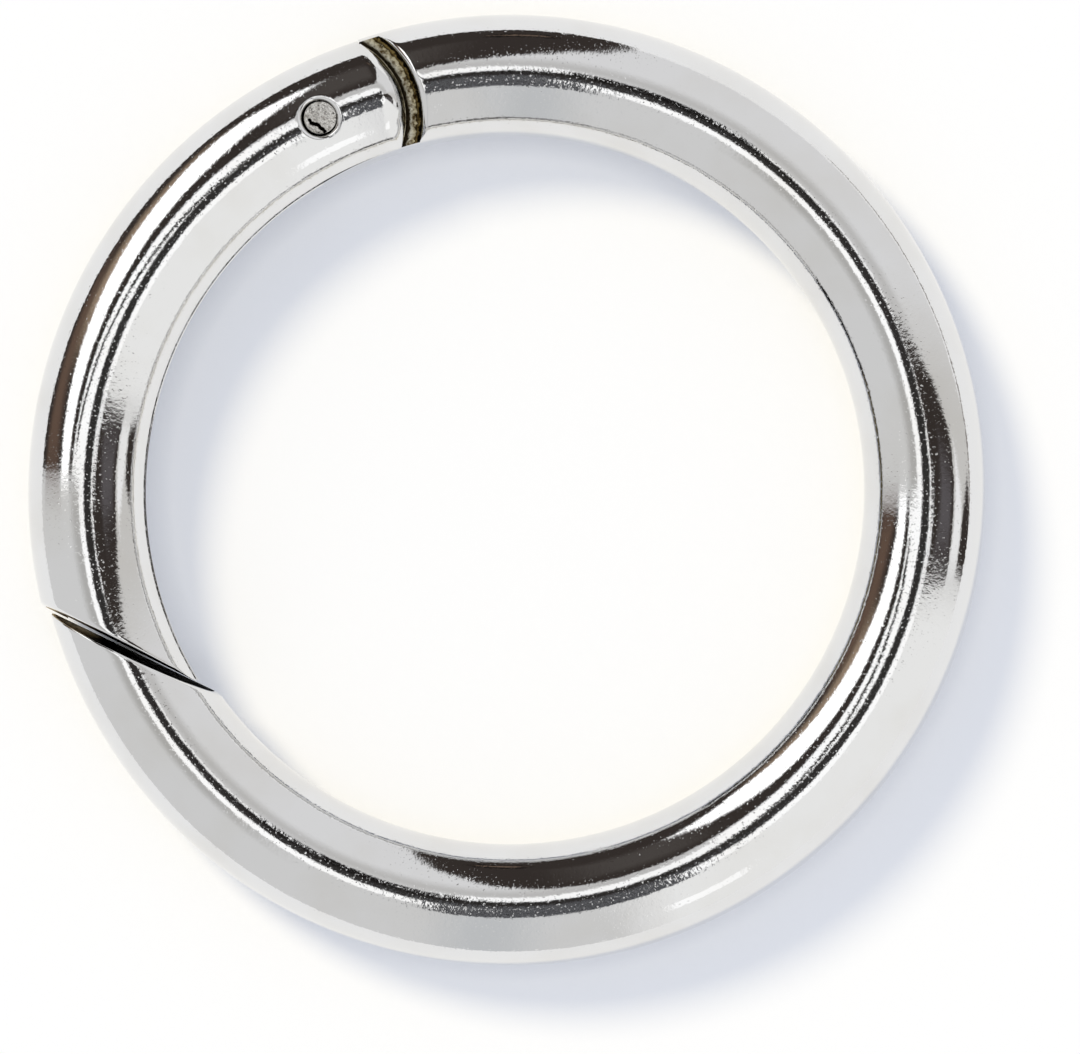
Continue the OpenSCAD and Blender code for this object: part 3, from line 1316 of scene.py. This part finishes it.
@dataclass
class Studio:
    """The floor, the light, the cards that the metal mirrors, and the camera."""

    sizes: RingSizes
    surround: str = "EBEBEC"
    ambient: str = "B8C2D8"
    camera_height: float = 400.0
    paper_r: float = 90.0
    paper_sides: int = 128
    paper_centre: tuple[float, float] = (24.8, 27.5)
    paper_glow: float = 0.45
    crevice: float = 2.0
    key_energy: float = 2.36
    key_angle: float = math.radians(16)
    key_colour: tuple[float, float, float] = (1.0, 0.89, 0.62)
    key_towards: tuple[float, float, float] = (0.5, -0.5, -math.sqrt(0.5))
    view_width: float = 53.395
    view_centre: tuple[float, float] = (1.483, -1.829)
    cards: tuple[Card, ...] = field(default_factory=tuple)

    def world(self) -> None:
        """Builds the surroundings: white to the camera, even light, and cards in mirrors."""
        world = bpy.data.worlds.new("studio")
        bpy.context.scene.world = world
        world.use_nodes = True
        tree = world.node_tree
        tree.nodes.clear()
        sky = add_node(tree, "TexCoord").outputs["Generated"]
        x, y, z = add_node(tree, "SeparateXYZ", {0: sky}).outputs
        turn = add_node(tree, "Math", {0: y, 1: x}, operation="ARCTAN2")
        rise = add_node(tree, "Math", {0: z}, operation="ARCSINE")
        azimuth, elevation = (
            add_node(tree, "Math", {0: angle}, operation="DEGREES") for angle in (turn, rise)
        )
        shade: Any = linear(self.surround)
        plain: Any = linear(self.ambient)
        for card in self.cards:
            shade = self.pin_up(tree, card, azimuth, elevation, shade)
            if card.blocks:
                plain = self.pin_up(tree, card, azimuth, elevation, plain)
        rays = add_node(tree, "LightPath").outputs
        seen = {0: rays["Is Glossy Ray"], 1: rays["Is Transmission Ray"]}
        mirrored = add_node(tree, "Math", seen, operation="MAXIMUM")
        whitened = {0: rays["Is Camera Ray"], 6: plain, 7: (1.0, 1.0, 1.0, 1.0)}
        light = add_node(tree, "Mix", whitened, data_type="RGBA").outputs[2]
        even = add_node(tree, "Background", {"Color": light})
        room = add_node(tree, "Background", {"Color": shade})
        both = add_node(tree, "MixShader", {0: mirrored, 1: even, 2: room})
        add_node(tree, "OutputWorld", {"Surface": both})

    @staticmethod
    def pin_up(
        tree: bpy.types.NodeTree, card: Card, azimuth: Any, elevation: Any, behind: Any
    ) -> Any:
        """Puts one card in front of what is behind it.

        Args:
            tree: The world's node tree.
            card: The card.
            azimuth: Node that gives the direction's azimuth, in degrees.
            elevation: Node that gives its elevation, in degrees.
            behind: The colour behind the card, or its socket.

        Returns:
            Socket of the colour with the card in it.
        """
        corners = card.corners
        middle = sum(az for az, _ in corners) / len(corners)
        turn = add_node(tree, "Math", {0: azimuth, 1: middle}, operation="SUBTRACT")
        turn = add_node(tree, "Math", {0: turn, 1: 180.0, 2: -180.0}, operation="WRAP")
        reach: Any = None
        for (az_a, el_a), (az_b, el_b) in zip(corners, corners[1:] + corners[:1]):
            length = math.hypot(az_b - az_a, el_b - el_a)
            nx, ny = (el_a - el_b) / length, (az_b - az_a) / length
            inside: Any = -(nx * (az_a - middle) + ny * el_a)
            for value, slope in ((elevation, ny), (turn, nx)):
                if abs(slope) > TINY:
                    terms = {0: value, 1: slope, 2: inside}
                    inside = add_node(tree, "Math", terms, operation="MULTIPLY_ADD")
            if reach is not None:
                inside = add_node(tree, "Math", {0: reach, 1: inside}, operation="MINIMUM")
            reach = inside
        cover = add_node(
            tree,
            "MapRange",
            {"Value": reach, "From Min": -card.softness, "From Max": card.softness},
            interpolation_type="SMOOTHSTEP",
        )
        if card.slats:
            wave = add_node(tree, "Math", {0: turn, 1: card.slats}, operation="MULTIPLY")
            wave = add_node(tree, "Math", {0: wave}, operation="SINE")
            slat = add_node(tree, "Math", {0: wave, 1: 2.0, 2: 0.2}, operation="MULTIPLY_ADD")
            cover = add_node(
                tree, "Math", {0: cover, 1: slat}, operation="MULTIPLY", use_clamp=True
            )
        lit = (*(c * card.gain for c in linear(card.colour)[:3]), 1.0)
        return add_node(tree, "Mix", {0: cover, 6: behind, 7: lit}, data_type="RGBA").outputs[2]

    def floor(self) -> None:
        """Lays the white paper that the ring lies on."""
        bm = bmesh.new()
        middle = Vector((*self.paper_centre, 0.0)) * MM
        bmesh.ops.create_circle(
            bm,
            cap_ends=True,
            radius=self.paper_r * MM,
            segments=self.paper_sides,
            matrix=Matrix.Translation(middle),
        )
        floor = show_mesh("Floor", bm)
        material, tree = fresh_material("paper_white_matt")
        matt = {"Base Color": linear("FFFFFF"), "Roughness": 1.0, "Specular IOR Level": 0.0}
        sheet = add_node(tree, "BsdfPrincipled", matt)
        # A share of plain white where the paper is seen or mirrored keeps its shadow pale
        rays = add_node(tree, "LightPath").outputs
        seen: Any = rays["Is Camera Ray"]
        for other in ("Is Glossy Ray", "Is Transmission Ray"):
            seen = add_node(tree, "Math", {0: seen, 1: rays[other]}, operation="MAXIMUM")
        open_sky = add_node(
            tree, "AmbientOcclusion", {"Distance": self.crevice * MM}, samples=1
        ).outputs["AO"]
        for share in (open_sky, self.paper_glow):
            seen = add_node(tree, "Math", {0: seen, 1: share}, operation="MULTIPLY")
        glow = add_node(tree, "Emission")
        paper = add_node(tree, "MixShader", {0: seen, 1: sheet, 2: glow})
        add_node(tree, "OutputMaterial", {"Surface": paper})
        floor.data.materials.append(material)

    def lamps(self) -> None:
        """Hangs one soft lamp at the upper left, which throws the shadow to the lower right."""
        lamp = bpy.data.lights.new("soft_key", "SUN")
        lamp.energy = self.key_energy
        lamp.angle = self.key_angle
        lamp.color = self.key_colour
        key = show("soft_key", lamp)
        key.rotation_euler = Vector(self.key_towards).to_track_quat("-Z", "Y").to_euler()
        key.visible_glossy = False

    def camera(self) -> None:
        """Hangs the camera straight above the ring, on a long lens."""
        data = bpy.data.cameras.new("camera")
        data.sensor_width = 36.0
        data.lens = data.sensor_width * (self.camera_height - self.sizes.bar_r) / self.view_width
        camera = show("camera", data)
        camera.location = Vector((*self.view_centre, self.camera_height)) * MM
        bpy.context.scene.camera = camera

    def build(self) -> None:
        """Sets up the whole studio."""
        bpy.context.scene.view_settings.view_transform = "Standard"
        self.world()
        self.floor()
        self.lamps()
        self.camera()


DARK = "3A3431"
BLACK = "1E1C1B"

CARDS = (
    # Grey wall on the left and at the lower left, and a white one at the lower right
    Card("E1E1E1", ((176.5, -30), (286, -30), (286, 80), (176.5, 80)), softness=3.0),
    Card("FFFFFE", ((288, -30), (348.7, -30), (348.7, 80), (288, 80)), softness=6.0),
    Card("D0D2D4", ((261, -30), (272, -30), (272, 80), (261, 80)), softness=5.0),
    Card("D8D6D3", ((-10, -10), (18, -10), (24, 80), (-10, 80)), softness=9.0),
    # The walls grow dimmer upwards
    Card("CDCCCB", ((24, 62), (120, 62), (120, 78), (24, 78)), softness=9.0),
    Card("BFBEBC", ((176.5, 60), (232, 62), (232, 78), (176.5, 78)), softness=8.0),
    # The paper's far side, which curves up a little
    Card("FFFFFF", ((12, -30), (118, -30), (118, 2.5), (12, 2.5)), softness=1.2),
    Card("8E8985", ((-4, -3.5), (46, -2.5), (46, -0.8), (-4, -0.5)), softness=0.8),
    # Dark backdrop at the top, with a rounded corner
    Card(
        DARK,
        (
            (75, -30),
            (177, -30),
            (177, 61),
            (128, 64),
            (105, 65),
            (93.7, 59.5),
            (86, 49),
            (78, 28),
            (75, 5),
        ),
        softness=1.4,
    ),
    Card("504B48", ((99, 24), (118, 22), (119, 56), (101, 50)), softness=7.0),
    Card(BLACK, ((85, 7), (92, 7), (93.5, 11), (92, 15), (85, 15), (83.5, 11)), softness=1.0),
    Card("6A5B50", ((84.5, 10), (89, 9), (93, 10), (90.5, 12.5), (86, 12.5)), softness=1.0),
    # Soft box in front of it, with its warm glow below
    Card("A08C78", ((132, 8), (160, 14), (160, 40), (130, 14)), softness=7.0),
    Card("6A564A", ((150, 0), (177, 4), (177, 30), (152, 12)), softness=7.0),
    Card(
        "FFFFFF",
        ((115, 23), (126.5, 11), (178, 39.5), (178, 53), (150, 51.5), (133, 47), (122, 36)),
        softness=2.2,
        gain=1.7,
    ),
    # Bright slot between the walls and the dark ceiling, and the streak of a lamp
    Card("FFFFFF", ((26, 80), (58, 80), (58, 86), (26, 86)), softness=1.5, gain=1.1),
    Card("FFFFFF", ((84, 76), (120, 72), (120, 85), (84, 85)), softness=1.5, gain=1.2),
    Card("FFFFFF", ((120, 67), (177, 60), (180, 85), (120, 85)), softness=1.5, gain=1.25),
    Card("FFFFFF", ((180, 74), (262, 74), (262, 85), (180, 85)), softness=1.5, gain=1.25),
    Card("FFFFFF", ((292, 73), (346, 75), (346, 85), (292, 85)), softness=1.5, gain=1.25),
    Card("FFFFFF", ((291, 21), (302, 21), (302, 33), (291, 33)), softness=1.0, gain=1.25),
    # Dark doorway on the right, with a light pane in it
    Card(
        DARK,
        ((348.7, 34), (366, 36), (371, 44), (380, 64), (386, 88), (348.7, 88)),
        softness=1.5,
    ),
    Card("605C5E", ((352, 40), (362, 42), (366, 60), (352, 66)), softness=5.0),
    Card("FFFFFF", ((346, 76), (359, 75), (359, 82), (346, 83)), softness=1.5),
    Card(DARK, ((348.7, -4), (356, -4), (362, 4), (358, 14), (350, 15.5)), softness=1.5),
    Card("FFFFFF", ((350, 17), (358, 17), (366, 31), (350, 33)), softness=2.0),
    Card("FFFFFF", ((-6, 80.3), (14, 80.3), (14, 85), (-6, 85)), softness=1.2, gain=1.2),
    # Dark ceiling, the streak that sweeps down from it, and the comb of its slats
    Card("363433", ((-182, 83.2), (2, 83.2), (2, 95), (-182, 95)), softness=1.6, blocks=True),
    Card("363433", ((-2, 83.2), (182, 83.2), (182, 95), (-2, 95)), softness=1.6, blocks=True),
    Card(BLACK, ((59, 78), (85, 79), (85, 92), (59, 92)), softness=1.5),
    Card("3C3A38", ((118, 84), (172, 62.5), (173, 66), (122, 89)), softness=0.9),
    Card("747579", ((258, 67.5), (296, 68.5), (292, 90), (258, 90)), softness=1.2),
    Card(BLACK, ((258, 67), (296, 69), (292, 90), (258, 90)), softness=1.2, slats=1.9),
)


def main() -> None:
    """Builds the pieces in order, dresses them and sets up the studio."""
    logging.basicConfig(level=logging.INFO, format="%(name)s: %(message)s")
    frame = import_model()
    sizes = RingSizes.from_frame(frame)
    # The second and third finishes carry painted shade: dark corners by the hinge's gap, and the
    # dark mouth, whose finish also paints the pin's tear.
    plate, cast_painted_shade, painted_shade = NICKEL_PLATE.make(), NICKEL_CAST_PAINTED_SHADE.make(), PLATE_PAINTED_SHADE.make()
    steel, wire = SHEARED_STEEL.make(), DRAWN_WIRE.make()

    spring = Spring(sizes)
    for piece, body, node, slot, finishes in (
        (RingBody(sizes).build(), "ring", "ring_body", "plated_casting", (plate, cast_painted_shade, painted_shade)),
        (Gate(sizes).build(), "gate", "gate", "plated_casting", (plate, cast_painted_shade, painted_shade)),
        (HingePin(sizes).build(), "ring", "hinge_pin", "pin_steel", (steel, painted_shade)),
        (spring.build(), "gate", "gate_spring", "spring_steel", (wire,)),
    ):
        for finish in finishes:
            piece.data.materials.append(finish)
        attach(piece, body)
        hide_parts(node)
        if node == "gate_spring":
            seat, heel = spring.ends()
            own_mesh(piece)

    Studio(sizes, cards=CARDS).build()


if __name__ == "__main__":
    main()
